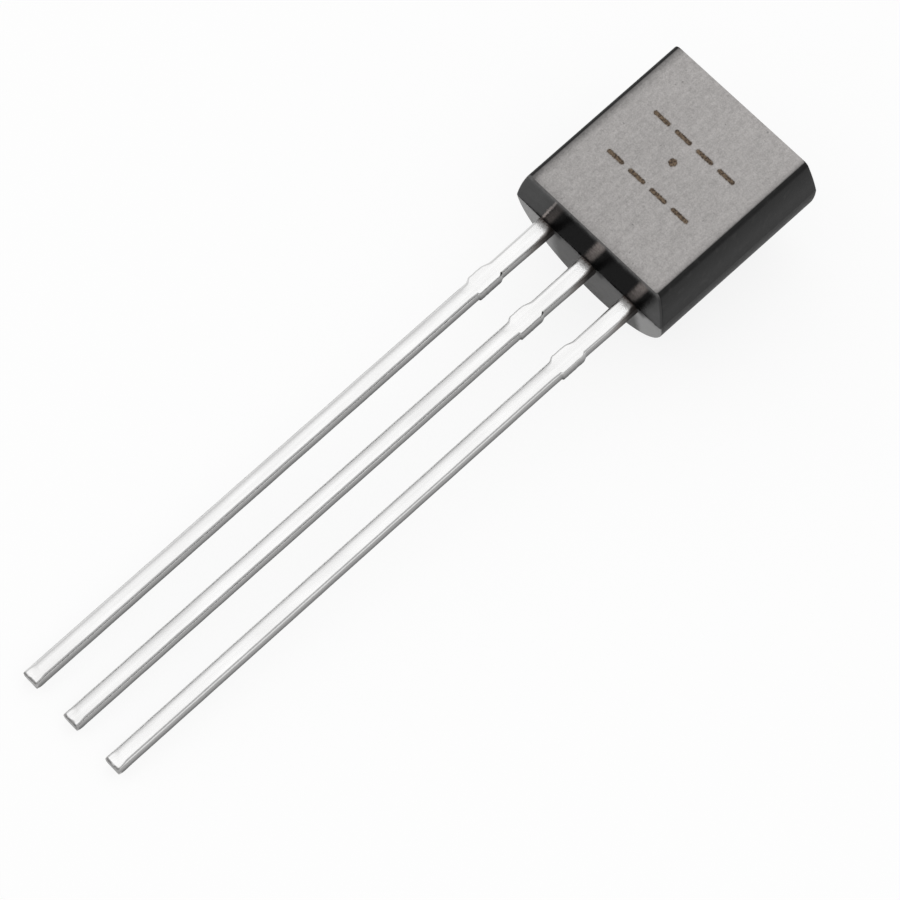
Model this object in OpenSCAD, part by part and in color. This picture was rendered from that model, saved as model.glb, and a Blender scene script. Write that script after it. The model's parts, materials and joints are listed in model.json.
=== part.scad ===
// Small-signal transistor in the three-lead plastic case with one flat side.
//
// Each piece is drawn upright in the package's own frame, and lay_down() then turns
// the whole package on to its round back, as it comes to rest on a bench.
//   x runs across the leads: emitter at -x, collector in the middle, base at +x
//   y runs from the flat (-y) to the round back (+y), with the leads' mid-plane at 0
//   z runs along the leads, with 0 where they leave the case and the case above it
//
// The case is moulded round the lead frame in two halves. The halves part on the
// leads' front faces, so both of them draft away from that plane.

/* [Case] */
// Width of the case at the parting plane, which is also the round back's diameter
case_width = 4.4; // [4.3:0.05:4.7]
// Height of the case along the parting plane
case_height = 4.6; // [4.4:0.02:4.8]
// Depth from the flat to the mid-plane of the leads
flat_depth = 1.22; // [1.1:0.02:1.4]
// Rounding of the two long edges of the flat
flat_edge_r = 0.13; // [0.08:0.01:0.2]
// Rounding of the rims at both ends of the case
rim_r = 0.04; // [0.03:0.01:0.1]
// Draft of the lead end, from the parting plane to the flat, in degrees
front_draft = 10; // [4:1:12]
// Draft of the lead end, from the parting plane to the round back, in degrees
back_draft = 5; // [3:1:8]
// Draft of the far end, on both sides of the parting plane, in degrees
top_draft = 3.5; // [2:0.5:6]
// Diameter of the mark that the ejector pin leaves on the round back
ejector_d = 1.5; // [1:0.1:1.6]
// Depth of the ejector pin's mark
ejector_depth = 0.16; // [0.15:0.01:0.25]

/* [Leads] */
// Spacing of the leads
pitch = 1.27; // [1.2:0.01:1.32]
// Length of the leads from the case to their cut ends
lead_length = 14.6; // [12.7:0.1:15]
// Width of a lead below the dam bar's stubs
lead_w = 0.4; // [0.38:0.01:0.5]
// Thickness of the lead frame's strip
lead_t = 0.38; // [0.36:0.01:0.44]
// Rounding of a lead's long edges, as the tin plating leaves it
lead_edge_r = 0.09; // [0.05:0.01:0.12]
// Width of a lead's neck where it leaves the case
neck_root_w = 0.42; // [0.4:0.01:0.5]
// Width of a lead's neck just above the stubs
neck_waist_w = 0.39; // [0.36:0.01:0.42]
// Distance from the case to the upper edge of the dam bar's stubs
stub_drop = 1.5; // [1.2:0.05:2]
// Height of the stubs, which is the width of the dam bar that was cut away
stub_h = 0.66; // [0.5:0.02:0.8]
// Distance that a stub stands out from the side of a lead
stub_out = 0.045; // [0.02:0.005:0.08]
// Height of the slope that the cutting blade leaves on the front of a lead's end
tip_roll = 0.12; // [0.05:0.01:0.2]

/* [Inside the case] */
// Width of the collector's die pad
pad_w = 1.9; // [1.6:0.1:2.2]
// Height of the collector's die pad
pad_h = 1.6; // [1.4:0.1:1.8]
// Height of the die pad's lower edge above the leads' exit
pad_foot = 2.1; // [2:0.05:2.2]
// Width of the emitter's and the base's bond posts
post_w = 0.95; // [0.8:0.05:1]
// Height of the bond posts
post_h = 0.75; // [0.6:0.05:0.8]
// Height of the posts' lower edge above the leads' exit
post_foot = 1.1; // [1:0.05:1.15]
// Radius of the notches that lock each lead in the moulding
lock_r = 0.1; // [0.06:0.01:0.12]
// Side of the square silicon die
die_w = 0.46; // [0.3:0.02:0.6]
// Thickness of the silicon die
die_t = 0.2; // [0.15:0.01:0.28]
// Diameter of the bond wires
wire_d = 0.025; // [0.02:0.005:0.05]
// Height of the bond wires' loops above the die
loop_h = 0.22; // [0.15:0.01:0.3]

/* [Hidden] */
$fn = 72;

EMITTER = -1;
BASE = 1;
LEAD_END = 1;
FAR_END = -1;

// Case
case_r = case_width / 2;
parting_y = -lead_t / 2;
back_y = parting_y + case_r;
flat_y = -flat_depth;
flat_reach = parting_y - flat_y;
// Cutting forms run this far past what they cut
over = 1;
// A rim's rounding runs this far past the two faces that it joins, so that they cross
rim_lap = 0.002;
// Centre of a rim's rounding, from the middle of its end face: outwards, then inwards
rim_centre = [case_r - rim_r + rim_lap, rim_r - rim_lap];
// Distance at which the rounding starts on the end face
rim_start = rim_centre[0] + sqrt(rim_r ^ 2 - rim_centre[1] ^ 2);

// Leads
neck_in = 0.25;
stub_slope = 0.07;
tip_roll_depth = 0.07;
corner_r = 0.15;
front_face_y = -lead_t / 2;

// Die and bonds
die_z = pad_foot + pad_h / 2;
die_face_y = front_face_y - die_t;
bond_offset = 0.11;
ball_d = 0.08;
ball_h = 0.03;
post_bond_x = pitch - bond_offset;
post_bond_z = post_foot + post_h / 2;
wire_sides = 6;
wire_steps = 12;

// Rest on a bench, as points in y and z: the back's lower rim and the lead ends touch it
low_rim_centre = [
    parting_y + rim_centre[0] * cos(back_draft) - rim_centre[1] * sin(back_draft),
    rim_centre[0] * sin(back_draft) + rim_centre[1] * cos(back_draft)
];
far_rim = [parting_y + rim_start * cos(top_draft), case_height - rim_start * sin(top_draft)];
tip_heel = [lead_t / 2, -lead_length];
tip_toe = [front_face_y + tip_roll_depth, -lead_length];
span = low_rim_centre - tip_heel;
rest_tilt = atan(span[0] / span[1]) + asin(rim_r / norm(span));

// How far a point lies along the bench, and how far below the leads' exit
function along_bench(p) = p[0] * sin(rest_tilt) + p[1] * cos(rest_tilt);
function drop(p) = p[0] * cos(rest_tilt) - p[1] * sin(rest_tilt);

// ---- Placing ----

// Turns the upright package on to its round back, standing on z = 0 and centred in y
module lay_down() {
    translate([0, -(along_bench(far_rim) + along_bench(tip_toe)) / 2, drop(tip_heel)])
        rotate([rest_tilt - 90, 0, 0])
            children();
}

// Extrudes an outline drawn in x and z through the thickness of the lead frame
module through_strip(thickness) {
    rotate([90, 0, 0])
        linear_extrude(thickness, center = true)
            children();
}

// A rectangle about the origin with round corners
module rounded_rect(w, h, r) {
    square([w - 2 * r, h], center = true);
    square([w, h - 2 * r], center = true);
    for (x = [-1, 1], y = [-1, 1])
        translate([x * (w / 2 - r), y * (h / 2 - r)])
            circle(r);
}

// ---- Case ----

// The case seen along the leads: a round back, cut by the flat, with eased corners
module d_outline() {
    ease_y = flat_y + flat_edge_r;
    ease_x = sqrt((case_r - flat_edge_r) ^ 2 - (ease_y - parting_y) ^ 2);
    far = 3 * case_r;
    ray_y = far * (ease_y - parting_y) / ease_x;
    for (side = [-1, 1])
        translate([side * ease_x, ease_y])
            circle(flat_edge_r);
    translate([-ease_x, flat_y])
        square([2 * ease_x, flat_reach]);
    translate([0, parting_y])
        intersection() {
            circle(case_r);
            polygon([[0, 0], [far, ray_y], [far, far], [-far, far], [-far, ray_y]]);
        }
}

// The case seen from the side, in y and z: two drafted ends and the flat's eased edges
module side_outline() {
    low = flat_reach * tan(front_draft);
    high = case_height - flat_reach * tan(top_draft);
    low_ease = rim_r * tan(45 - front_draft / 2);
    high_ease = rim_r * tan(45 - top_draft / 2);
    beyond = case_r + over;
    polygon([
        [parting_y, 0],
        [parting_y + beyond, beyond * tan(back_draft)],
        [parting_y + beyond, case_height - beyond * tan(top_draft)],
        [parting_y, case_height],
        [flat_y + high_ease * cos(top_draft), high + high_ease * sin(top_draft)],
        [flat_y, high - high_ease],
        [flat_y, low + low_ease],
        [flat_y + low_ease * cos(front_draft), low - low_ease * sin(front_draft)]
    ]);
    translate([flat_y + rim_r, low + low_ease])
        circle(rim_r);
    translate([flat_y + rim_r, high - high_ease])
        circle(rim_r);
}

// A turned form that rounds the rim of one drafted end face and clears the rest of the case
module rim_rounding(end, draft) {
    rise = case_height + over;
    lift = end == LEAD_END ? 0 : case_height;
    translate([0, parting_y, lift])
        rotate([draft, 0, 0])
            mirror([0, 0, end == LEAD_END ? 0 : 1])
                rotate_extrude() {
                    translate(rim_centre)
                        circle(rim_r);
                    polygon([
                        [0, -over / 2],
                        [rim_centre[0], -rim_lap / 2],
                        rim_centre,
                        [case_r + rim_lap / 2, rim_centre[1]],
                        [case_r + over, rise],
                        [0, rise]
                    ]);
                }
}

module ejector_mark() {
    translate([0, back_y - ejector_depth, case_height / 2])
        rotate([-90, 0, 0])
            cylinder(d = ejector_d, h = over);
}

module moulding() {
    difference() {
        intersection() {
            translate([0, 0, -over])
                linear_extrude(case_height + 2 * over)
                    d_outline();
            rotate([90, 0, 90])
                linear_extrude(2 * case_width, center = true)
                    side_outline();
            rim_rounding(LEAD_END, back_draft);
            rim_rounding(LEAD_END, -front_draft);
            rim_rounding(FAR_END, -top_draft);
            rim_rounding(FAR_END, top_draft);
        }
        ejector_mark();
    }
}

module case() {
    color([0.2, 0.2, 0.2])
        lay_down()
            difference() {
                moulding();
                outer_lead_form(EMITTER);
                collector_form();
                outer_lead_form(BASE);
                die_form();
                wire_form(EMITTER);
                wire_form(BASE);
            }
}

// ---- Leads ----

// A lead's section in x and y
module lead_section(w) {
    rounded_rect(w, lead_t, lead_edge_r);
}

// The tapered neck. Each of two bars leans with one side, and the neck is what they share.
module neck() {
    wide = 3 * neck_root_w;
    lean = atan((neck_root_w - neck_waist_w) / 2 / stub_drop);
    intersection() {
        leaning_bar(EMITTER, wide, lean);
        leaning_bar(BASE, wide, lean);
        translate([-wide / 2, -lead_t, -stub_drop])
            cube([wide, 2 * lead_t, stub_drop + neck_in]);
    }
}

module leaning_bar(side, wide, lean) {
    translate([side * neck_root_w / 2, 0, 0])
        rotate([0, side * lean, 0])
            translate([-side * wide / 2, 0, -stub_drop - over])
                linear_extrude(stub_drop + 2 * over)
                    lead_section(wide);
}

// What is left of the dam bar on both sides of a lead, sheared flat through the strip
module dam_bar_stubs() {
    half = lead_w / 2;
    out = half + stub_out;
    top = -stub_drop;
    foot = top - stub_h;
    through_strip(lead_t)
        polygon([
            [-half, top + stub_slope],
            [-out, top],
            [-out, foot + stub_slope],
            [-half, foot],
            [half, foot],
            [out, foot + stub_slope],
            [out, top],
            [half, top + stub_slope]
        ]);
}

// The straight part, with the front edge of its cut end rolled over by the blade
module straight_lead() {
    difference() {
        translate([0, 0, -lead_length])
            linear_extrude(lead_length - stub_drop)
                lead_section(lead_w);
        translate([0, front_face_y, -lead_length + tip_roll])
            rotate([atan(tip_roll_depth / tip_roll), 0, 0])
                translate([-lead_w, -over, -over])
                    cube([2 * lead_w, over, over]);
    }
}

module outside_lead() {
    neck();
    dam_bar_stubs();
    straight_lead();
}

// The stem that stands in the moulding, with a notch on each side to lock it
module locked_stem(top) {
    start = neck_in - 0.1;
    difference() {
        translate([-lead_w / 2, start])
            square([lead_w, top - start]);
        for (side = [-1, 1])
            translate([side * lead_w / 2, (neck_in + post_foot) / 2])
                circle(lock_r);
    }
}

module outer_lead_form(side) {
    translate([side * pitch, 0, 0]) {
        outside_lead();
        through_strip(lead_t) {
            locked_stem(post_foot + corner_r);
            translate([0, post_foot + post_h / 2])
                rounded_rect(post_w, post_h, corner_r);
        }
    }
}

module collector_form() {
    shoulder = pad_foot - lock_r;
    outside_lead();
    through_strip(lead_t) {
        locked_stem(shoulder);
        polygon([
            [-lead_w / 2, shoulder - lead_w / 2],
            [lead_w / 2, shoulder - lead_w / 2],
            [lead_w, pad_foot + corner_r],
            [-lead_w, pad_foot + corner_r]
        ]);
        difference() {
            translate([0, pad_foot + pad_h / 2])
                rounded_rect(pad_w, pad_h, corner_r);
            translate([0, pad_foot + pad_h])
                circle(2 * lock_r);
        }
    }
}

module emitter_lead() {
    color([0.86, 0.86, 0.87])
        lay_down()
            outer_lead_form(EMITTER);
}

module collector_lead() {
    color([0.86, 0.86, 0.87])
        lay_down()
            collector_form();
}

module base_lead() {
    color([0.86, 0.86, 0.87])
        lay_down()
            outer_lead_form(BASE);
}

// ---- Die and bond wires ----

module die_form() {
    translate([-die_w / 2, die_face_y, die_z - die_w / 2])
        cube([die_w, die_t, die_w]);
}

// A flat-sided disc that stands on a face with its axis towards the flat
module bond_disc(place) {
    translate(place)
        rotate([90, 0, 0])
            cylinder(d = ball_d, h = ball_h, $fn = 8);
}

// A point on the wire's half loop, with t from 0 at the die to 1 at the post
function loop_point(from, to, t) =
    let (along = (1 - cos(180 * t)) / 2)
    from + (to - from) * along - [0, (loop_h + (to[1] - from[1]) * along) * sin(180 * t), 0];

// The wire's section there, turned to face along the loop
function loop_ring(from, to, t) =
    let (
        centre = loop_point(from, to, t),
        heading = [(to - from)[0], 0, (to - from)[2]],
        ahead = heading / norm(heading),
        lean = 180 * t,
        out = ahead * cos(lean) + [0, sin(lean), 0],
        across = cross(ahead, [0, 1, 0])
    )
    [
        for (i = [0:wire_sides - 1])
            centre + wire_d / 2 * (out * cos(360 * i / wire_sides) + across * sin(360 * i / wire_sides))
    ];

module wire_form(side) {
    on_die = [side * bond_offset, die_face_y, die_z - bond_offset];
    on_post = [side * post_bond_x, front_face_y, post_bond_z];
    lift = [0, -ball_h / 2, 0];
    last = wire_sides * wire_steps;
    rings = [
        for (step = [0:wire_steps])
            each loop_ring(on_die + lift, on_post + lift, step / wire_steps)
    ];
    walls = [
        for (step = [0:wire_steps - 1], i = [0:wire_sides - 1])
            let (
                a = step * wire_sides + i,
                b = step * wire_sides + (i + 1) % wire_sides
            )
            each [[a, b + wire_sides, b], [a, a + wire_sides, b + wire_sides]]
    ];
    start_cap = [for (i = [0:wire_sides - 1]) i];
    end_cap = [for (i = [wire_sides - 1:-1:0]) last + i];
    polyhedron(rings, concat([start_cap], walls, [end_cap]));
    bond_disc(on_die);
    bond_disc(on_post);
}

module die() {
    color([0.36, 0.38, 0.44])
        lay_down()
            die_form();
}

module emitter_wire() {
    color([0.85, 0.66, 0.25])
        lay_down()
            wire_form(EMITTER);
}

module base_wire() {
    color([0.85, 0.66, 0.25])
        lay_down()
            wire_form(BASE);
}

case();
emitter_lead();
collector_lead();
base_lead();
die();
emitter_wire();
base_wire();
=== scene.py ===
"""Small-signal transistor: a moulded D-shaped case on three tinned leads, lying on a bench."""

import json
import math

import bmesh
import bpy
from mathutils import Matrix, Vector


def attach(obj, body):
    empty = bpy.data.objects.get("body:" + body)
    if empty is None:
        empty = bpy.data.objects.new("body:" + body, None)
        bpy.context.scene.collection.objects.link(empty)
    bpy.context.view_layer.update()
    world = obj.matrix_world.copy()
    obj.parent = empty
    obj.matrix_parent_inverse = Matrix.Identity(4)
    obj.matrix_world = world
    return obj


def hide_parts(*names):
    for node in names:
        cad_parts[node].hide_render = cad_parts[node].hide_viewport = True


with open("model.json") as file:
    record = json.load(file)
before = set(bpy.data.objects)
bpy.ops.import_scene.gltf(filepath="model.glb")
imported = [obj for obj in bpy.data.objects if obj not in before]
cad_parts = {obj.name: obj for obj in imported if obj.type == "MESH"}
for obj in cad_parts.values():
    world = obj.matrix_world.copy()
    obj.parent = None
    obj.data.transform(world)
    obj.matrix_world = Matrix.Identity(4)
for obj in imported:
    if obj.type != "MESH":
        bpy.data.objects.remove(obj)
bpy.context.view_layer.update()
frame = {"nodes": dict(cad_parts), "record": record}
record = frame["record"]

# Sizes in millimetres, in the package's own frame: x across the leads, y from the flat to the
# round back with 0 in the middle of the strip, z along the leads with 0 where they leave the case
MM = 0.001
CASE_WIDTH = 4.4
CASE_HEIGHT = 4.6
FLAT_DEPTH = 1.22
FLAT_EDGE_R = 0.16
SIDE_R = 4.4
RIM_R = 0.04
FRONT_DRAFT = 10
BACK_DRAFT = 5
TOP_DRAFT = 3.5
EJECTOR_D = 1.5
EJECTOR_DEPTH = 0.16

LEAD_LENGTH = 14.6
LEAD_W = 0.4
STRIP_T = 0.38
LEAD_EDGE_R = 0.09
NECK_ROOT_W = 0.42
NECK_WAIST_W = 0.39
STUB_DROP = 1.5
STUB_H = 0.66
STUB_OUT = 0.045
TIP_ROLL = 0.12
TIP_EASE = 0.006

POST = {"Head width": 0.95, "Head height": 0.75, "Head foot": 1.1}
PAD = {"Head width": 1.9, "Head height": 1.6, "Head foot": 2.1}

PARTING_Y = -STRIP_T / 2
CASE_R = CASE_WIDTH / 2
FLAT_REACH = FLAT_DEPTH + PARTING_Y
FLAT_HALF = math.sqrt((CASE_R - FLAT_EDGE_R) ** 2 - (FLAT_REACH - FLAT_EDGE_R) ** 2)


def slope(degrees):
    """How far a face drafted by that angle rises for each millimetre."""
    return math.tan(math.radians(degrees))


FLAT_FOOT = FLAT_REACH * slope(FRONT_DRAFT) + RIM_R
FLAT_HEAD = CASE_HEIGHT - FLAT_REACH * slope(TOP_DRAFT) - RIM_R


def mount(name):
    return next(m for m in record["mounts"] if m["name"] == name)


def package_frame():
    """The package's own frame, from where the record says its middle lead leaves the case."""
    exit_mount = mount("lead_row")
    along = -Vector(exit_mount["axis"]).normalized()
    across = Vector((1, 0, 0))
    back = along.cross(across)
    turn = Matrix((across, back, along)).transposed().to_4x4()
    return Matrix.Translation(exit_mount["pos_m"]) @ turn @ Matrix.Scale(MM, 4)


PACKAGE = package_frame()
PITCH = mount("lead_row")["dims"]["spacing_x_mm"]


# ---- Node trees ----

# Which of a Mix node's sockets mix colours: several share a name
MIX_FACTOR = 0
MIX_COLOURS = (6, 7)
MIX_RESULT = 2


class Value:
    """One output of a node. Python arithmetic on it adds Math nodes."""

    def __init__(self, tree, socket):
        self.tree, self.socket = tree, socket

    def maths(self, operation, *values):
        return self.tree.add("ShaderNodeMath", {"operation": operation}, dict(enumerate(values)))

    def __add__(self, other):
        return self.maths("ADD", self, other)

    def __radd__(self, other):
        return self.maths("ADD", other, self)

    def __sub__(self, other):
        return self.maths("SUBTRACT", self, other)

    def __rsub__(self, other):
        return self.maths("SUBTRACT", other, self)

    def __mul__(self, other):
        return self.maths("MULTIPLY", self, other)

    def __rmul__(self, other):
        return self.maths("MULTIPLY", other, self)

    def __truediv__(self, other):
        return self.maths("DIVIDE", self, other)

    def __rtruediv__(self, other):
        return self.maths("DIVIDE", other, self)

    def __pow__(self, other):
        return self.maths("POWER", self, other)

    def __abs__(self):
        return self.maths("ABSOLUTE", self)

    def __lt__(self, other):
        return self.maths("LESS_THAN", self, other)

    def __gt__(self, other):
        return self.maths("GREATER_THAN", self, other)

    def smallest(self, other):
        return self.maths("MINIMUM", self, other)

    def largest(self, other):
        return self.maths("MAXIMUM", self, other)

    def root(self):
        return self.maths("SQRT", self)

    def cosine(self):
        return self.maths("COSINE", self)

    def sine(self):
        return self.maths("SINE", self)

    def whole(self):
        return self.maths("ROUND", self)

    def floor(self):
        return self.maths("FLOOR", self)


class Tree:
    """A node tree that is filled with one method, add."""

    def __init__(self, tree):
        self.tree = tree
        self.links = tree.links

    def add(self, kind, settings=None, sockets=None, out=0):
        """A new node, with its settings made first. Gives its output called out as a Value."""
        node = self.tree.nodes.new(kind)
        for name, value in (settings or {}).items():
            setattr(node, name, value)
        for name, value in (sockets or {}).items():
            if isinstance(value, Value):
                self.links.new(value.socket, node.inputs[name])
            else:
                node.inputs[name].default_value = value
        return Value(self, node.outputs[out]) if node.outputs else node

    def ramp(self, value, start, end, low=0.0, high=1.0, smooth=False):
        """Goes from low to high while value goes from start to end, and stays level outside."""
        settings = {"interpolation_type": "SMOOTHSTEP" if smooth else "LINEAR"}
        limits = {"From Min": start, "From Max": end, "To Min": low, "To Max": high}
        return self.add("ShaderNodeMapRange", settings, {"Value": value, **limits})

    def noise(self, place, scale, detail=2.0, roughness=0.5):
        sizes = {"Vector": place, "Scale": scale, "Detail": detail, "Roughness": roughness}
        return self.add("ShaderNodeTexNoise", None, sizes)

    def stretch(self, place, scale, offset=(0, 0, 0)):
        """place, scaled and shifted: a pattern that reads it gets finer along a larger scale."""
        moved = self.add("ShaderNodeVectorMath", {"operation": "MULTIPLY"}, {0: place, 1: scale})
        return self.add("ShaderNodeVectorMath", {"operation": "ADD"}, {0: moved, 1: offset})

    def axes(self, place):
        node = self.add("ShaderNodeSeparateXYZ", None, {0: place}).socket.node
        return [Value(self, node.outputs[i]) for i in range(3)]

    def mix(self, share, low, high):
        """The colour low where share is 0 and high where it is 1."""
        sockets = {MIX_FACTOR: share, MIX_COLOURS[0]: low, MIX_COLOURS[1]: high}
        return self.add("ShaderNodeMix", {"data_type": "RGBA"}, sockets, MIX_RESULT)


def grey(value, warmth=0.0):
    """A grey of that linear value, slightly warm where warmth is above 0."""
    return (value * (1 + warmth), value, value * (1 - warmth), 1)


class Finish(Tree):
    """A material, with the surface's place in the package's frame in millimetres."""

    def __init__(self, name):
        self.material = bpy.data.materials.new(name)
        self.material.use_nodes = True
        super().__init__(self.material.node_tree)
        self.tree.nodes.clear()
        self.place = self.package_place()

    def package_place(self):
        """Object coordinates, turned and scaled into the package's frame."""
        start, turn, scale = PACKAGE.inverted().decompose()
        here = self.add("ShaderNodeTexCoord", None, None, "Object")
        sockets = {"Vector": here, "Location": start, "Rotation": turn.to_euler(), "Scale": scale}
        return self.add("ShaderNodeMapping", {"vector_type": "POINT"}, sockets)

    def bump(self, height, distance, strength=1.0, normal=None):
        """Raises the surface by distance, in millimetres, where height is 1."""
        sockets = {"Height": height, "Distance": distance * MM, "Strength": strength}
        if normal:
            sockets["Normal"] = normal
        return self.add("ShaderNodeBump", None, sockets)

    def finish(self, base, *layers):
        """Ends the material in Principled surfaces: base, with each layer over it by its share."""
        surface = self.add("ShaderNodeBsdfPrincipled", None, base)
        for share, sockets in layers:
            over = self.add("ShaderNodeBsdfPrincipled", None, sockets)
            surface = self.add("ShaderNodeMixShader", None, {0: share, 1: surface, 2: over})
        self.add("ShaderNodeOutputMaterial", None, {"Surface": surface})
        return self.material


# ---- Moulding compound ----

# The laser's marks on the flat: two rows of plain dashes, by each row's middle, and a dot
DASH_ROWS = ((-0.02, 1.78), (0.02, 3.1))
DASHES_A_ROW = 4
DASH_STEP = 0.64
DASH_HALF = 0.19
DOT = (-0.04, 2.54)
DOT_R = 0.045

DUST = 0.362
DUST_COLOUR = (1.025, 0.985, 0.965, 1)

# Painted reflections of the leads on the lead end, as pale bands: each one's middle, half width and
# grey, and its strength by the flat and by the parting line. They lean sideways a fixed amount for
# each millimetre towards the flat.
LEAD_REFLECTION_BANDS = (
    (-1.27, 0.15, 0.08, 0.6, 1),
    (-1.41, 0.04, 0.5, 0.4, 1),
    (-0.04, 0.17, 0.23, 1, 0.4),
    (1.25, 0.17, 0.2, 1, 0.25),
)
REFLECTION_LEAN = 0.32
REFLECTION_BY_FLAT_Y = -1.0

# The black residue and painted shadow are thickest this far to the right of each lead's middle
SOOT_AND_SHADOW_SHIFT = 0.3


def from_nearest_lead(x):
    return x - (x / PITCH).whole() * PITCH


class Compound(Finish):
    """Dark moulding compound, with the patterns and the masks that its surfaces share."""

    def __init__(self):
        super().__init__("moulding_compound")
        self.x, self.y, self.z = self.axes(self.place)
        self.grain = self.noise(self.place, 34, 2, 0.6)
        self.mottle = self.noise(self.place, 11, 3, 0.6)
        self.scuffs = self.noise(self.stretch(self.place, (1, 1, 1), (3, 8, 1)), 5, 3, 0.65)
        self.wander = self.mottle - 0.5
        self.off_parting = abs(self.y - PARTING_Y)
        self.over_front = self.z - self.off_parting * slope(FRONT_DRAFT)
        self.over_back = self.z - self.off_parting * slope(BACK_DRAFT)
        self.behind = self.ramp(self.y, PARTING_Y, PARTING_Y + 0.01)
        self.on_flat = self.flat_and_far_rim()
        self.ahead = (1 - self.behind) * (1 - self.on_flat)
        self.front_end = self.ramp(self.over_front, 0.05, 0.032) * self.ahead
        self.back_end = self.ramp(self.over_back, 0.03, 0.012) * self.behind
        # Across the lead end, slanted the way its painted reflections run
        self.leaning = self.x - (PARTING_Y - self.y) * REFLECTION_LEAN + self.wander * 0.05

    def flat_and_far_rim(self):
        """1 on the flat and on its rounding at the far end, which the dust reaches too."""
        far_rim = self.ramp(self.z, FLAT_HEAD - 0.02, FLAT_HEAD)
        far_rim = far_rim * self.ramp(abs(self.x), FLAT_HALF + 0.02, FLAT_HALF)
        far_rim = far_rim * self.ramp(self.y, -FLAT_DEPTH + 0.045, -FLAT_DEPTH + 0.03)
        return self.ramp(self.y, -FLAT_DEPTH + 0.009, -FLAT_DEPTH + 0.0004).largest(far_rim)

    def stroke(self, start, end):
        """Distance from the line between two points on the flat."""
        (x0, z0), (x1, z1) = start, end
        length2 = (x1 - x0) ** 2 + (z1 - z0) ** 2
        along = ((self.x - x0) * (x1 - x0) + (self.z - z0) * (z1 - z0)) / length2
        along = self.ramp(along, 0, 1)
        dx = self.x - x0 - along * (x1 - x0)
        dz = self.z - z0 - along * (z1 - z0)
        return (dx * dx + dz * dz).root()

    def laser_marks(self):
        """How far each spot is engraved and scorched, and the colour of the burnt compound."""
        nearest = self.stroke(DOT, (DOT[0] + 0.001, DOT[1])) - DOT_R
        for row_x, row_z in DASH_ROWS:
            for i in range(DASHES_A_ROW):
                middle = row_x + (i - (DASHES_A_ROW - 1) / 2) * DASH_STEP
                dash = self.stroke((middle - DASH_HALF, row_z), (middle + DASH_HALF, row_z))
                nearest = nearest.smallest(dash)
        edge = self.noise(self.place, 24, 2, 0.6)
        distance = nearest + (edge - 0.5) * 0.045
        engraved = self.ramp(distance, 0.06, 0.036, smooth=True) * self.on_flat
        scorched = self.ramp(distance, 0.085, 0.052, smooth=True) * self.on_flat
        charred = self.ramp(edge, 0.4, 0.62)
        burnt = self.mix(charred, (0.055, 0.04, 0.03, 1), (0.17, 0.125, 0.085, 1))
        return engraved, scorched, burnt

    def dusty_flat(self, engraved, scorched, burnt):
        """The flat's colour: pale dust, darker towards its edges and slightly lighter towards the far
        end, and the laser's marks.
        """
        across = self.x + self.wander * 0.06
        edge_darkening = self.ramp(across, 0.22 - FLAT_HALF, -FLAT_HALF) ** 2 * 0.5
        edge_darkening = edge_darkening + self.ramp(self.z + self.wander * 0.1, FLAT_FOOT + 0.26, FLAT_FOOT) ** 2 * 0.2
        edge_darkening = edge_darkening + self.ramp(across, FLAT_HALF - 0.12, FLAT_HALF) ** 2 * 0.2
        cloud = self.noise(self.place, 1.1, 2, 0.5)
        scratches = self.noise(self.stretch(self.place, (9, 9, 1.6), (2, 4, 6)), 1.6, 2, 0.55)
        dust = DUST + self.wander * 0.15 + (self.grain - 0.5) * 0.28 + (cloud - 0.5) * 0.03
        dust = dust + (scratches - 0.5) * 0.12
        dust = (dust + self.z * 0.006) * (1 - edge_darkening.smallest(0.6))
        colour = self.mix(dust, (0, 0, 0, 1), DUST_COLOUR)
        specks = self.noise(self.stretch(self.place, (1, 1, 1), (7, 3, 5)), 10, 1, 0.5)
        colour = self.mix(self.ramp(specks, 0.74, 0.78) * 0.45, colour, grey(0.08))
        colour = self.mix(scorched * 0.25, colour, (0.16, 0.13, 0.1, 1))
        return self.mix(engraved, colour, burnt)

    def sides(self):
        """The colour of the sides, the round back and the far end."""
        colour = self.mix(self.mottle, grey(0.01), grey(0.024))
        # Painted shade: the sides darker towards the flat
        colour = self.mix(self.ramp(self.y, PARTING_Y, -1.0, 0, 0.35), colour, grey(0.005))
        colour = self.mix(self.ramp(self.scuffs, 0.55, 0.75) * 0.3, colour, grey(0.06, 0.02))
        seam = self.ramp(self.off_parting + (self.grain - 0.5) * 0.03, 0.03, 0.01)
        return self.mix(seam * 0.3, colour, grey(0.055, 0.02))

    def soot_and_shadow(self):
        """Black residue and painted shadow along the parting line of the lead end, thickest beside
        each lead.
        """
        beside = abs(from_nearest_lead(self.x - SOOT_AND_SHADOW_SHIFT))
        spread = 1 - self.ramp(beside, 0.28, 0.06, smooth=True) * 0.72
        off = (self.off_parting + (self.grain + self.mottle - 1) * 0.12) * spread
        soot_and_shadow = self.ramp(off, 0.13, 0.035) * (self.front_end + self.back_end).smallest(1)
        return soot_and_shadow * self.ramp(abs(self.x), 2.05, 1.6)

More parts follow.
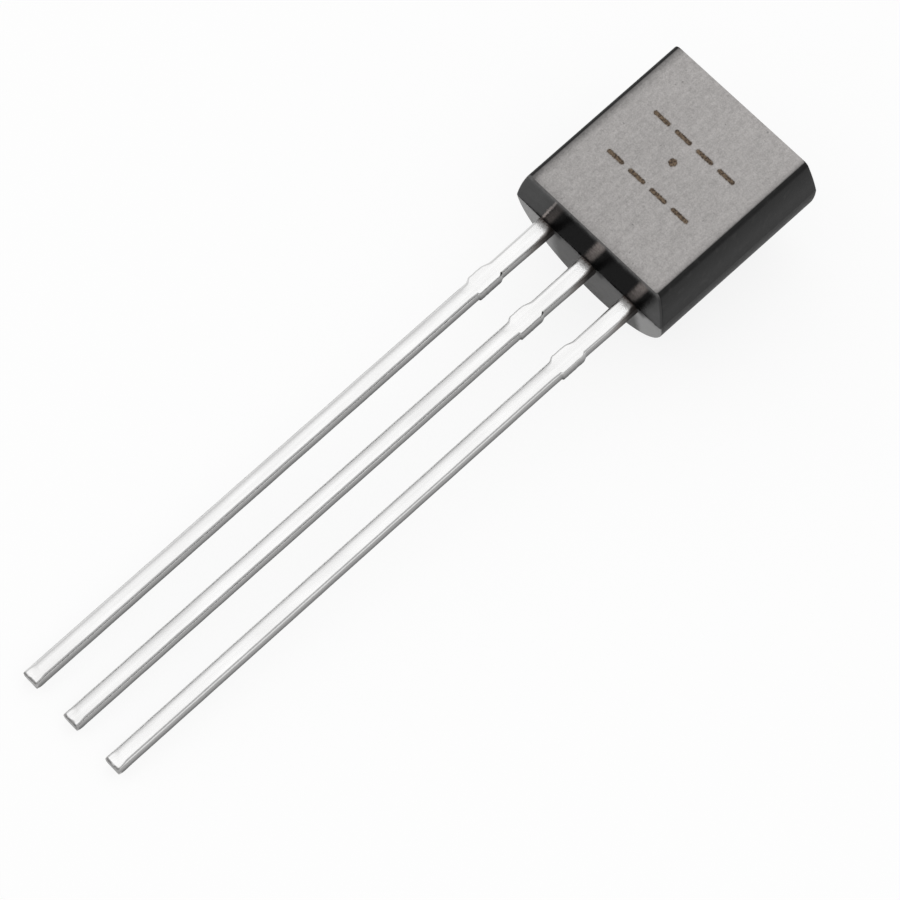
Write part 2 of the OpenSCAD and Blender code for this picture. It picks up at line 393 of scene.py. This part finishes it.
    def lead_end(self, colour, outer, painted_dark_reflection, soot_and_shadow):
        """That colour, with the lead end's two halves over it, their painted reflections and shadow,
        and what the resin left on them.
        """
        # Painted reflections of the bench: the front half lighter towards its right corner, the back
        # half much lighter than the sides, most of all outside the outer leads
        front = self.mix(self.mottle, grey(0.03), grey(0.04))
        front = self.mix(self.ramp(self.leaning, 1.62, 1.85), front, grey(0.055))
        back = self.mix(self.mottle, grey(0.1, 0.01), grey(0.13, 0.01))
        back = self.mix(outer, back, grey(0.17, 0.01))
        colour = self.mix(self.front_end, colour, front)
        colour = self.mix(self.back_end, colour, back)
        # Painted dark reflection between the leads
        colour = self.mix(painted_dark_reflection, colour, grey(0.003))
        blotches = self.ramp(self.grain * 0.5 + self.mottle * 0.5, 0.38, 0.6, 0.55, 1.1)
        # Painted reflections of the leads: pale bands over the lead end's front half
        for middle, reach, level, by_flat, by_parting in LEAD_REFLECTION_BANDS:
            off = abs(self.leaning - middle) + (self.grain - 0.5) * 0.12
            pale = self.ramp(self.y, REFLECTION_BY_FLAT_Y, PARTING_Y, by_flat, by_parting) * blotches
            pale = (self.front_end * pale).smallest(1)
            band = self.ramp(off, reach, reach * 0.3, smooth=True) * pale
            colour = self.mix(band, colour, (level, level * 0.88, level * 0.83, 1))
        # Black residue and painted shadow by the parting line
        colour = self.mix(soot_and_shadow * 0.85, colour, grey(0.004))
        patchy = (self.mottle + self.noise(self.place, 5, 3, 0.6) - 1) * 0.11
        dusted = self.ramp(self.y + patchy, -FLAT_DEPTH, -FLAT_DEPTH + 0.24, 1, 0) ** 3
        return self.mix(self.front_end * dusted, colour, grey(0.13, 0.01))

    def dark_edges(self):
        """Where the right side reflects less: low along the parting line and on its near rim."""
        low = self.ramp(self.y, -0.6, -0.1) * self.ramp(self.y, 0.6, 0.2)
        low = low * self.ramp(self.x, 1.8, 2.1) * self.ramp(self.over_back, 0.0, 0.05)
        low = low * (1 - self.front_end) * 0.6
        rim = self.ramp(self.over_front, 0.003, 0.01) * self.ramp(self.over_front, 0.07, 0.045)
        return low.largest(rim * self.ramp(self.x, 1.7, 1.85) * self.ahead * 0.8)


def moulding_compound():
    """Dark compound: a flat under pale dust, satin sides, and a painted black reflection between the
    leads on the lead end.
    """
    finish = Compound()
    engraved, scorched, burnt = finish.laser_marks()
    soot_and_shadow = finish.soot_and_shadow()
    # Painted dark reflection: the lead end's front half between the leads is painted near black and
    # loses its sheen
    painted_dark_reflection = finish.ramp(finish.leaning, -1.42, -1.36) * finish.ramp(finish.leaning, 1.72, 1.5)
    painted_dark_reflection = painted_dark_reflection * finish.front_end
    # Outside the outer leads: a painted reflection of the bench on the back half's colour, and a
    # glossier finish there
    ragged_x = finish.x + finish.wander * 0.2
    outer = finish.ramp(ragged_x, -1.02, -1.45, smooth=True)
    outer = outer + finish.ramp(ragged_x, 1.25, 1.5, smooth=True)

    colour = finish.mix(finish.on_flat, finish.sides(), finish.dusty_flat(engraved, scorched, burnt))
    colour = finish.lead_end(colour, outer, painted_dark_reflection, soot_and_shadow)
    roughness = 0.42 + finish.wander * 0.16 + (finish.scuffs - 0.5) * 0.2 + finish.on_flat * 0.3
    roughness = roughness + finish.back_end * 0.2 - painted_dark_reflection * 0.22

    texture = finish.bump(finish.grain, 0.006, 0.5)
    dust_relief = finish.on_flat * (finish.grain * 0.5 + finish.mottle * 0.5)
    relief = finish.bump(dust_relief, 0.012, 0.7, texture)
    cut = finish.bump(1 - engraved, 0.02, 0.8, relief)
    dull = {"Base Color": colour, "Roughness": roughness, "Normal": cut, "Specular IOR Level": 0.12}
    satin = {**dull, "Roughness": 0.4 + finish.wander * 0.1, "Specular IOR Level": 0.38}
    dark = {**dull, "Specular IOR Level": 0.01}
    satin_share = outer * finish.back_end * (1 - soot_and_shadow)
    return finish.finish(dull, (satin_share, satin), (painted_dark_reflection.largest(finish.dark_edges()), dark))


# ---- Tin ----


def tinned_strip():
    """Bright tin on the rolled faces, duller on the stamped sides with painted shade towards the
    bench, dark where the case begins.
    """
    finish = Finish("tinned_strip")
    x, y, z = finish.axes(finish.place)
    flank = finish.add("ShaderNodeAttribute", {"attribute_name": "flank"}, None, "Fac")
    sheared = finish.add("ShaderNodeAttribute", {"attribute_name": "sheared"}, None, "Fac")
    drawn = finish.noise(finish.stretch(finish.place, (12, 12, 0.5)), 1, 2, 0.5)
    grains = finish.noise(finish.place, 30, 2, 0.6)
    patches = finish.noise(finish.stretch(finish.place, (3, 3, 0.8)), 1, 2, 0.5)
    shade = finish.ramp(drawn * 0.4 + grains * 0.2 + patches * 0.4, 0.35, 0.65)
    bright = finish.mix(shade, grey(0.7, 0.004), grey(0.8, 0.003))
    # The stamped sides: duller, and darkened towards the bench with painted shade
    below = finish.ramp(y + (drawn - 0.5) * 0.05, -0.13, 0.1)
    dull = finish.mix(below, grey(0.34, 0.01), grey(0.025, 0.01))
    side = finish.ramp(flank + (drawn + grains - 1) * 0.12, 0.78, 1.0, smooth=True)
    colour = finish.mix(side, bright, dull)
    torn = finish.noise(finish.stretch(finish.place, (1, 1, 0.4), (4, 1, 2)), 5, 2, 0.6)
    burr_z = z + (torn - 0.5) * 0.16 + LEAD_LENGTH
    cut_end = sheared.largest(finish.ramp(burr_z, 0.06, 0.035))
    cut_colour = finish.mix(finish.ramp(torn, 0.42, 0.58), grey(0.36, 0.01), grey(0.2, 0.01))
    colour = finish.mix(cut_end, colour, cut_colour)

    # Resin that crept onto the neck all round it at the case, a brown darkening along one edge down
    # to the stub, and over the right side's root black residue with painted shade
    from_axis = from_nearest_lead(x)
    bleed = finish.ramp(z + (grains - 0.5) * 0.14, -0.2, -0.02)
    film_edge = finish.ramp(z, -0.1, -0.9, 0.11, 0.21) + (grains - 0.5) * 0.05
    film = finish.ramp(from_axis - film_edge, 0, 0.05) * finish.ramp(z, -1.5, -1.35)
    colour = finish.mix(film * 0.75, colour, (0.15, 0.125, 0.11, 1))
    # Black residue and painted shade over the right side's root
    root_side = finish.ramp(z + (grains - 0.5) * 0.2, -0.6, -0.2, smooth=True) * side
    colour = finish.mix(root_side * 0.9, colour, (0.03, 0.025, 0.022, 1))
    covered_and_shaded = bleed.largest(film * 0.6).largest(root_side)
    colour = finish.mix(bleed, colour, (0.06, 0.048, 0.042, 1))
    # A dark wedge at the right of the front's root: residue with painted shade
    reach = finish.ramp(from_axis, 0.06, 0.2, -0.02, -0.3)
    residue = finish.ramp(z + (torn - 0.5) * 0.3, reach, reach + 0.16, smooth=True)
    residue = residue * finish.ramp(from_axis, 0.04, 0.14)
    covered_and_shaded = covered_and_shaded.largest(residue)
    colour = finish.mix(residue * 0.85, colour, (0.008, 0.006, 0.005, 1))
    roughness = 0.2 + (grains - 0.5) * 0.06 + side * 0.12 + sheared * 0.2 + covered_and_shaded * 0.25

    # Below the stubs each lead's front is slightly crowned
    crowned = finish.ramp(z, -2.1, -2.4) * finish.ramp(z, 0.14 - LEAD_LENGTH, 0.3 - LEAD_LENGTH)
    off_crown = from_axis - 0.03
    crown = finish.bump((1 - off_crown * off_crown * 25) * crowned, 0.033, 1.0)
    grained = finish.bump(grains, 0.004, 0.5, crown)
    lined = finish.bump(drawn, 0.003, 0.4, grained)
    bare = 1 - covered_and_shaded * 0.9
    surface = {"Base Color": colour, "Metallic": bare, "Roughness": roughness, "Normal": lined}
    return finish.finish({**surface, "Specular IOR Level": 0.12})


def polished_silicon():
    finish = Finish("polished_silicon")
    films = finish.noise(finish.place, 9, 2, 0.5)
    colour = finish.mix(films, (0.16, 0.17, 0.24, 1), (0.3, 0.3, 0.38, 1))
    return finish.finish({"Base Color": colour, "Metallic": 0.3, "Roughness": 0.12 + films * 0.1})


def drawn_gold():
    finish = Finish("drawn_gold")
    lines = finish.noise(finish.place, 60, 2, 0.5)
    colour = finish.mix(lines, (0.75, 0.5, 0.16, 1), (0.92, 0.68, 0.26, 1))
    return finish.finish({"Base Color": colour, "Metallic": 1.0, "Roughness": 0.2 + lines * 0.12})


# ---- Case ----

# Steps round the back, the flat half's sides, the flat's eased edges and the flat, rows up the
# wall, steps over a rim, and how far inside the rim each end's face starts
BACK_STEPS = 144
SIDE_STEPS = 20
EASE_STEPS = 12
FLAT_STEPS = 38
WALL_ROWS = 30
RIM_STEPS = 8
END_INSET = 0.02

# Edges sharper than this, in degrees, stay sharp
SHARP_EDGE = 35


def circle_centre(one, one_r, other, other_r):
    """Where a circle's centre lies, at one_r from one point and other_r from the other."""
    apart = other - one
    length = apart.length
    along = (one_r**2 - other_r**2 + length**2) / (2 * length)
    to_side = Vector((apart.y, -apart.x)) / length
    return one + apart * (along / length) + to_side * math.sqrt(one_r**2 - along**2)


def d_outline():
    """The case seen along the leads, counter-clockwise, as points with their outward normals."""
    ease_y = -FLAT_DEPTH + FLAT_EDGE_R
    ease = Vector((FLAT_HALF, ease_y))
    widest = Vector((CASE_R, PARTING_Y))
    side = circle_centre(widest, SIDE_R, ease, SIDE_R - FLAT_EDGE_R)
    meet = math.atan2(ease_y - side.y, FLAT_HALF - side.x)
    part = math.atan2(PARTING_Y - side.y, CASE_R - side.x)
    points = []

    def arc(centre, radius, start, end, steps):
        for i in range(steps + 1):
            angle = start + (end - start) * i / steps
            out = Vector((math.cos(angle), math.sin(angle)))
            points.append((Vector(centre) + radius * out, out))

    arc((0, PARTING_Y), CASE_R, 0, math.pi, BACK_STEPS)
    arc((-side.x, side.y), SIDE_R, math.pi - part, math.pi - meet, SIDE_STEPS)
    arc((-FLAT_HALF, ease_y), FLAT_EDGE_R, math.pi - meet, 1.5 * math.pi, EASE_STEPS)
    for i in range(FLAT_STEPS + 1):
        share = min(max(i / FLAT_STEPS, 0.004), 0.996)
        points.append((Vector((FLAT_HALF * (2 * share - 1), -FLAT_DEPTH)), Vector((0, -1))))
    arc((FLAT_HALF, ease_y), FLAT_EDGE_R, -0.5 * math.pi, meet, EASE_STEPS)
    arc(side, SIDE_R, meet, part, SIDE_STEPS)
    outline = []
    for place, out in points:
        if not outline or (place - outline[-1][0]).length > 1e-5:
            outline.append((place, out))
    if (outline[0][0] - outline[-1][0]).length < 1e-5:
        outline.pop()
    return outline


def end_height(y, far):
    """Height of the lead end or the far end there, both drafted away from the parting line."""
    off = y - PARTING_Y
    if far:
        return CASE_HEIGHT - abs(off) * slope(TOP_DRAFT)
    return abs(off) * slope(FRONT_DRAFT if off < 0 else BACK_DRAFT)


def rim_arc(place, out, far):
    """The rounding from the side to an end, as points that start on the side."""
    step = 0.01
    inner = place - out * step
    foot = end_height(place.y, far)
    up = -1 if far else 1
    rising = (end_height(inner.y, far) - foot) / step * up
    root = math.sqrt(1 + rising * rising)
    last = math.atan2(1, -rising)
    points = []
    for i in range(RIM_STEPS + 1):
        angle = last * i / RIM_STEPS
        inset = RIM_R * (1 - math.cos(angle))
        rise = RIM_R * (rising + root - math.sin(angle))
        spot = place - out * inset
        points.append(Vector((spot.x, spot.y, foot + up * rise)))
    return points


def new_piece(name, mesh, material, slot, *nodes):
    """A finished piece, from a mesh in the package's frame, that stands for those CAD nodes."""
    piece = bpy.data.objects.new(name, mesh)
    bpy.context.scene.collection.objects.link(piece)
    mesh.transform(PACKAGE)
    # The rim that the case rests on would dip up to 0.009 mm into the bench
    for vertex in mesh.vertices:
        vertex.co.z = max(vertex.co.z, 0)
    if not mesh.materials:
        mesh.materials.append(material)
    mesh.shade_smooth()
    mesh.set_sharp_from_angle(angle=math.radians(SHARP_EDGE))
    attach(piece, "root")
    if nodes:
        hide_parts(*nodes)
    return piece


def moulded_case():
    """The case: a wall round the D, rounded rims and two drafted ends."""
    outline = d_outline()
    shape = bmesh.new()
    columns = []
    for place, out in outline:
        low = rim_arc(place, out, False)
        high = rim_arc(place, out, True)
        inwards = Vector((out.x, out.y, 0)) * -END_INSET
        low_in = low[-1] + inwards
        low_in.z = end_height(low_in.y, False)
        high_in = high[-1] + inwards
        high_in.z = end_height(high_in.y, True)
        wall = [low[0].lerp(high[0], i / WALL_ROWS) for i in range(1, WALL_ROWS)]
        points = [low_in, *reversed(low), *wall, *high, high_in]
        columns.append([shape.verts.new(p) for p in points])
    count = len(columns)
    for i in range(count):
        here, there = columns[i], columns[(i + 1) % count]
        for j in range(len(here) - 1):
            shape.faces.new((here[j], there[j], there[j + 1], here[j + 1]))
    left = min(range(count), key=lambda i: (outline[i][0] - Vector((-CASE_R, PARTING_Y))).length)
    for end, flip in ((0, True), (-1, False)):
        back = [columns[i][end] for i in range(left + 1)]
        front = [columns[i % count][end] for i in range(left, count + 1)]
        for half in (back, front):
            shape.faces.new(list(reversed(half)) if flip else half)
    bmesh.ops.recalc_face_normals(shape, faces=shape.faces)
    mesh = bpy.data.meshes.new("case_blank")
    shape.to_mesh(mesh)
    shape.free()
    return press_ejector_mark(mesh)


def press_ejector_mark(mesh):
    """Sinks the ejector pin's mark into the round back."""
    blank = bpy.data.objects.new("case_blank", mesh)
    pin_mesh = bpy.data.meshes.new("ejector_pin")
    pin = bmesh.new()
    bmesh.ops.create_cone(
        pin, cap_ends=True, segments=96, radius1=EJECTOR_D / 2, radius2=EJECTOR_D / 2, depth=1
    )
    face_y = PARTING_Y + CASE_R - EJECTOR_DEPTH
    turn = Matrix.Rotation(math.radians(-90), 4, "X")
    place = Matrix.Translation((0, face_y + 0.5, CASE_HEIGHT / 2))
    bmesh.ops.transform(pin, matrix=place @ turn, verts=pin.verts)
    pin.to_mesh(pin_mesh)
    pin.free()
    cutter = bpy.data.objects.new("ejector_pin", pin_mesh)
    for thing in (blank, cutter):
        bpy.context.scene.collection.objects.link(thing)
    cut = blank.modifiers.new("mark", "BOOLEAN")
    cut.operation, cut.object, cut.solver = "DIFFERENCE", cutter, "EXACT"
    bpy.context.view_layer.update()
    done = bpy.data.meshes.new_from_object(blank.evaluated_get(bpy.context.evaluated_depsgraph_get()))
    for thing in (blank, cutter):
        bpy.data.objects.remove(thing)
    done.materials.clear()
    return done


# ---- Grown pieces ----


def sized_tree(name, sizes):
    """A Geometry Nodes tree with these sizes as its inputs, and the inputs by their names."""
    group = bpy.data.node_groups.new(name, "GeometryNodeTree")
    face = group.interface
    face.new_socket("Geometry", in_out="INPUT", socket_type="NodeSocketGeometry")
    for label, value in sizes.items():
        socket = face.new_socket(label, in_out="INPUT", socket_type="NodeSocketFloat")
        socket.default_value = value
    face.new_socket("Geometry", in_out="OUTPUT", socket_type="NodeSocketGeometry")
    tree = Tree(group)
    entry = tree.add("NodeGroupInput").socket.node
    return tree, {label: Value(tree, entry.outputs[label]) for label in sizes}


def end_tree(tree, skin, material):
    """Ends the tree in that skin, as real geometry in its material. Gives the node group."""
    skin = tree.add("GeometryNodeRealizeInstances", None, {"Geometry": skin})
    skin = tree.add("GeometryNodeSetMaterial", None, {"Geometry": skin, "Material": material})
    tree.add("NodeGroupOutput", None, {"Geometry": skin})
    return tree.tree


def grown(name, group, sizes):
    """The mesh that a tree makes with these sizes."""
    blank = bpy.data.objects.new(name + "_blank", bpy.data.meshes.new(name + "_blank"))
    bpy.context.scene.collection.objects.link(blank)
    maker = blank.modifiers.new("maker", "NODES")
    maker.node_group = group
    for item in group.interface.items_tree:
        if item.in_out == "INPUT" and item.name in sizes:
            maker[item.identifier] = sizes[item.name]
    bpy.context.view_layer.update()
    depsgraph = bpy.context.evaluated_depsgraph_get()
    mesh = bpy.data.meshes.new_from_object(blank.evaluated_get(depsgraph))
    bpy.data.objects.remove(blank)
    shape = bmesh.new()
    shape.from_mesh(mesh)
    bmesh.ops.recalc_face_normals(shape, faces=shape.faces)
    shape.to_mesh(mesh)
    shape.free()
    return mesh


# ---- Leads ----

# The lead's grid: steps round a corner, rows along the lead, and the row where each stretch ends
CORNER_STEPS = 12
AROUND = 4 * CORNER_STEPS
ALONG = 299
HEAD_ROW, NECK_ROW, STUB_ROW, SHANK_ROW = 70, 110, 175, 262

# How far inside the case the head's rows end, how far the stubs' rows go on above and below the
# stubs, and how long the tip's rows are
CASE_SKIN = 0.25
STUB_ROOM = 0.12
TIP_STRETCH = 0.3

# Roundings of the head's corners, and of the edges on the stubs, at the tip and on the head
HEAD_CORNER_R = 0.15
STUB_EDGE_R = 0.05
TIP_EDGE_R = 0.075
HEAD_EDGE_R = 0.015

LEAD_SIZES = {
    "Side": 0.0,
    "Length": LEAD_LENGTH - TIP_EASE,
    "Width": LEAD_W,
    "Thickness": STRIP_T,
    "Edge radius": LEAD_EDGE_R,
    "Neck root width": NECK_ROOT_W,
    "Neck waist width": NECK_WAIST_W,
    "Stub drop": STUB_DROP,
    "Stub height": STUB_H,
    "Stub reach": STUB_OUT,
    "Tip roll": TIP_ROLL,
    "Sway": 0.0,
    "Head width": POST["Head width"],
    "Head height": POST["Head height"],
    "Head foot": POST["Head foot"],
    "Seed": 0.0,
}


def lead_tree(material):
    """One lead as a closed skin: a grid, rolled up round a section whose width follows a rule."""
    tree, size = sized_tree("stamped_lead", LEAD_SIZES)
    sockets = {"Size X": 1.0, "Size Y": 1.0, "Vertices X": AROUND + 1, "Vertices Y": ALONG + 1}
    skin = tree.add("GeometryNodeMeshGrid", None, sockets)
    u, v, _ = tree.axes(tree.add("GeometryNodeInputPosition"))
    column = ((u + 0.5) * AROUND).whole()
    row = ((v + 0.5) * ALONG).whole()

    # Height of each row, close together at the stubs and at the cut end
    top = size["Head foot"] + size["Head height"]
    stub_top = 0 - size["Stub drop"]
    stub_foot = stub_top - size["Stub height"]
    z = top - tree.ramp(row, 1, HEAD_ROW) * (top - CASE_SKIN)
    z = z - tree.ramp(row, HEAD_ROW, NECK_ROW) * (size["Stub drop"] + CASE_SKIN - STUB_ROOM)
    z = z - tree.ramp(row, NECK_ROW, STUB_ROW) * (size["Stub height"] + 2 * STUB_ROOM)
    shank = size["Length"] - size["Stub drop"] - size["Stub height"] - STUB_ROOM - TIP_STRETCH
    z = z - tree.ramp(row, STUB_ROW, SHANK_ROW) * shank
    z = z - tree.ramp(row, SHANK_ROW, ALONG - 1) * TIP_STRETCH

    # The section's corners: a rounded rectangle whose arcs each have a vertex just before and after
    quarter = (column / CORNER_STEPS).floor()
    step = column - quarter * CORNER_STEPS
    turn = (quarter + tree.ramp(step, 1, CORNER_STEPS - 2)) * (math.pi / 2)
    middle = (quarter + 0.5) * (math.pi / 2)
    side_x = middle.cosine() * math.sqrt(2)
    side_y = middle.sine() * math.sqrt(2)
    beside = ((step > CORNER_STEPS - 1.5) - (step < 0.5)) * 0.012

    # Half width by height
    inside = tree.ramp(z, 0.2, CASE_SKIN)
    neck = tree.ramp(z, 0, stub_top, size["Neck root width"] / 2, size["Neck waist width"] / 2)
    below = tree.ramp(z, stub_top + 0.1, stub_top - 0.1, smooth=True)
    half = neck + below * (size["Width"] / 2 - neck)
    stem = size["Width"] / 2
    half = half + inside * (stem - half)
    from_ends = (top - z).smallest(z - size["Head foot"])
    short = (HEAD_CORNER_R - from_ends).largest(0)
    bite = HEAD_CORNER_R - (HEAD_CORNER_R**2 - short * short).largest(0).root()
    head = (from_ends > -0.004) * (size["Head width"] / 2 - bite - half).largest(0)
    left = side_x < 0
    stub = tree.ramp(z, stub_top + 0.05, stub_top - 0.05 - left * 0.18, smooth=True)
    stub = stub - tree.ramp(z, stub_foot + 0.03 + left * 0.1, stub_foot - 0.01, smooth=True)
    lane = size["Seed"] + side_x
    down_side = tree.add("ShaderNodeCombineXYZ", None, {0: lane, 2: z})
    burr = tree.noise(down_side, 9, 2, 0.6)
    wobble = tree.noise(down_side, 1.4, 2)
    outside = 1 - inside

    reach = size["Stub reach"] * (0.6 + 0.4 * left)
    half = half + head + stub * reach + outside * ((wobble - 0.5) * 0.012)
    half = half + stub * (burr - 0.5) * 0.024
    at_tip = tree.ramp(z, 0.3 - size["Length"], 0.12 - size["Length"], smooth=True)
    radius = size["Edge radius"] + stub * (STUB_EDGE_R - size["Edge radius"])
    radius = radius + at_tip * (TIP_EDGE_R - size["Edge radius"])
    radius = radius + inside * (HEAD_EDGE_R - radius)

    end = 0 - size["Length"]
    roll = tree.ramp(z, end + size["Tip roll"] / 2, end) ** 2.0
    round_tip = tree.add("ShaderNodeCombineXYZ", None, {0: u * 5 + size["Seed"], 1: 3.0})
    ragged = tree.noise(round_tip, 2, 2)
    roll = roll * (0.035 * (0.3 + 1.4 * ragged))
    under_roll = tree.ramp(z, end + size["Tip roll"] * 1.3, end) ** 2.0 * 0.07
    half_t = size["Thickness"] / 2

    x = side_x * (half - radius) + turn.cosine() * radius - turn.sine() * beside
    y = side_y * (half_t - radius) + turn.sine() * radius + turn.cosine() * beside
    y = y + roll * (y < 0) - under_roll * (y > 0)
    cap = (row > 0.5) * (row < ALONG - 0.5)
    x = x * cap + size["Side"] + size["Sway"] * tree.ramp(z, -2.5, end)
    y = y * cap + (1 - cap) * (row > 1) * 0.03
    # Marks for the material, made while the skin is still the flat grid that row and turn read
    settings = {"data_type": "FLOAT", "domain": "POINT"}
    for name, value in (("sheared", row > ALONG - 1.5), ("flank", abs(turn.cosine()))):
        sockets = {"Geometry": skin, "Name": name, "Value": value}
        skin = tree.add("GeometryNodeStoreNamedAttribute", settings, sockets)
    place = tree.add("ShaderNodeCombineXYZ", None, {0: x, 1: y, 2: z})
    skin = tree.add("GeometryNodeSetPosition", None, {"Geometry": skin, "Position": place})
    skin = tree.add("GeometryNodeMergeByDistance", None, {"Geometry": skin, "Distance": 0.0004})
    return end_tree(tree, skin, material)


# ---- Flash ----

FLASH_SIZES = {"Half width": 2.17, "Depth": PARTING_Y, "Reach": 0.022, "Seed": 5.0}


def flash_tree(material):
    """Ragged resin squeezed out along the parting line, thickest beside the leads."""
    tree, size = sized_tree("resin_flash", FLASH_SIZES)
    left = tree.add("ShaderNodeCombineXYZ", None, {0: 0 - size["Half width"], 1: size["Depth"]})
    right = tree.add("ShaderNodeCombineXYZ", None, {0: size["Half width"], 1: size["Depth"]})
    path = tree.add("GeometryNodeCurvePrimitiveLine", None, {"Start": left, "End": right})
    path = tree.add("GeometryNodeResampleCurve", None, {"Curve": path, "Count": 700})
    x, _, _ = tree.axes(tree.add("GeometryNodeInputPosition"))
    place = tree.add("ShaderNodeCombineXYZ", None, {0: x, 1: size["Seed"]})
    fine = tree.noise(place, 14, 3, 0.65)
    coarse = tree.noise(place, 3, 1, 0.5)
    lane = abs(from_nearest_lead(x))
    beside = tree.ramp(abs(lane - 0.25), 0.09, 0.02, smooth=True)
    thick = tree.ramp(fine * 0.6 + coarse * 0.4, 0.45, 0.68, 0.0, 0.9) + beside * fine * 0.8
    ends = tree.ramp(abs(x), size["Half width"], size["Half width"] - 0.1)
    radius = size["Reach"] * thick * ends + 0.002
    ring = tree.add("GeometryNodeCurvePrimitiveCircle", None, {"Resolution": 10, "Radius": 1.0})
    sockets = {"Curve": path, "Profile Curve": ring, "Scale": radius, "Fill Caps": True}
    skin = tree.add("GeometryNodeCurveToMesh", None, sockets)
    return end_tree(tree, skin, material)


# ---- Pieces ----

compound = moulding_compound()
tin = tinned_strip()
new_piece("moulded_case", moulded_case(), compound, "case_epoxy", "case")

stamping = lead_tree(tin)
for node, side, head, sway, seed in (
    ("emitter_lead", -1, POST, 0.02, 3.0),
    ("collector_lead", 0, PAD, 0.005, 11.0),
    ("base_lead", 1, POST, 0.03, 27.0),
):
    sizes = {**head, "Side": side * PITCH, "Sway": sway, "Seed": seed}
    new_piece("tinned_" + node, grown(node, stamping, sizes), tin, "tinned_lead", node)

flash = grown("resin_flash", flash_tree(compound), FLASH_SIZES)
new_piece("resin_flash", flash, compound, "case_epoxy")

gold = drawn_gold()
for node, material in (("die", polished_silicon()), ("emitter_wire", gold), ("base_wire", gold)):
    for slot in frame["nodes"][node].material_slots:
        slot.material = material


# ---- Bench, light and camera ----

# The soft box's middle, the cosines from it at which its edge starts and ends, and its light
BOX_WAY = (0.1, 0.995)
BOX_EDGE = (0.56, 0.857)
BOX_LIGHT = 1.25

# The room's light from left to right, and how much of the bench shows as plain paper white
ROOM = (-0.6, 0.6, 0.8, 0.52)
PAPER_SHARE = 0.85

# The camera's axes, its place in millimetres and its lens
CAMERA_RIGHT = (0.68166971, 0.7308585, 0.03423821)
CAMERA_UP = (-0.66435221, 0.59867746, 0.4474611)
CAMERA_PLACE = (27.73047, -28.55648, 79.18911)
FOCAL_LENGTH = 167.591
SENSOR_WIDTH = 36


def bench():
    """A white bench. Seen directly or in the metal it is paper white, with the shadow on it."""
    finish = Finish("white_bench")
    faint = finish.noise(finish.place, 0.05, 2, 0.5)
    colour = finish.mix(faint, grey(0.93), grey(0.95))
    surface = finish.add("ShaderNodeBsdfDiffuse", None, {"Color": colour})
    seen = finish.add("ShaderNodeLightPath", None, None, "Is Camera Ray")
    mirrored = finish.add("ShaderNodeLightPath", None, None, "Is Glossy Ray")
    white = finish.add("ShaderNodeEmission", None, {"Color": grey(1), "Strength": 1.0})
    share = (seen + mirrored) * PAPER_SHARE
    surface = finish.add("ShaderNodeMixShader", None, {0: share, 1: surface, 2: white})
    under = finish.add("ShaderNodeNewGeometry", None, None, "Backfacing")
    clear = finish.add("ShaderNodeBsdfTransparent")
    shown = finish.add("ShaderNodeMixShader", None, {0: under, 1: surface, 2: clear})
    finish.add("ShaderNodeOutputMaterial", None, {"Surface": shown})
    shape = bmesh.new()
    bmesh.ops.create_circle(shape, cap_ends=True, segments=96, radius=1.0)
    mesh = bpy.data.meshes.new("bench")
    shape.to_mesh(mesh)
    shape.free()
    floor = bpy.data.objects.new("bench", mesh)
    bpy.context.scene.collection.objects.link(floor)
    mesh.materials.append(finish.material)


def studio_light():
    """A wide soft box overhead, as a gradient over the world, in a room dimmer on the right."""
    world = bpy.data.worlds.new("studio")
    bpy.context.scene.world = world
    world.use_nodes = True
    tree = Tree(world.node_tree)
    world.node_tree.nodes.clear()
    way = tree.add("ShaderNodeTexCoord", None, None, "Generated")
    x, y, z = tree.axes(way)
    room = tree.ramp(x, *ROOM)
    box = tree.ramp(x * BOX_WAY[0] + z * BOX_WAY[1], *BOX_EDGE, smooth=True)
    level = room + box * (BOX_LIGHT - room)
    seen = tree.add("ShaderNodeLightPath", None, None, "Is Camera Ray")
    level = level + seen * (1 - level)
    background = tree.add("ShaderNodeBackground", None, {"Color": (1, 1, 1, 1), "Strength": level})
    tree.add("ShaderNodeOutputWorld", None, {"Surface": background})


def camera():
    """Looks down on the flat from the right of the lead ends."""
    right, up = Vector(CAMERA_RIGHT), Vector(CAMERA_UP)
    back = right.cross(up)
    lens = bpy.data.cameras.new("camera")
    lens.lens, lens.sensor_width = FOCAL_LENGTH, SENSOR_WIDTH
    lens.clip_start, lens.clip_end = 0.005, 5
    view = bpy.data.objects.new("camera", lens)
    bpy.context.scene.collection.objects.link(view)
    turn = Matrix((right, up, back)).transposed().to_4x4()
    view.matrix_world = Matrix.Translation(Vector(CAMERA_PLACE) * MM) @ turn
    bpy.context.scene.camera = view


bench()
studio_light()
camera()
bpy.context.scene.view_settings.view_transform = "Standard"
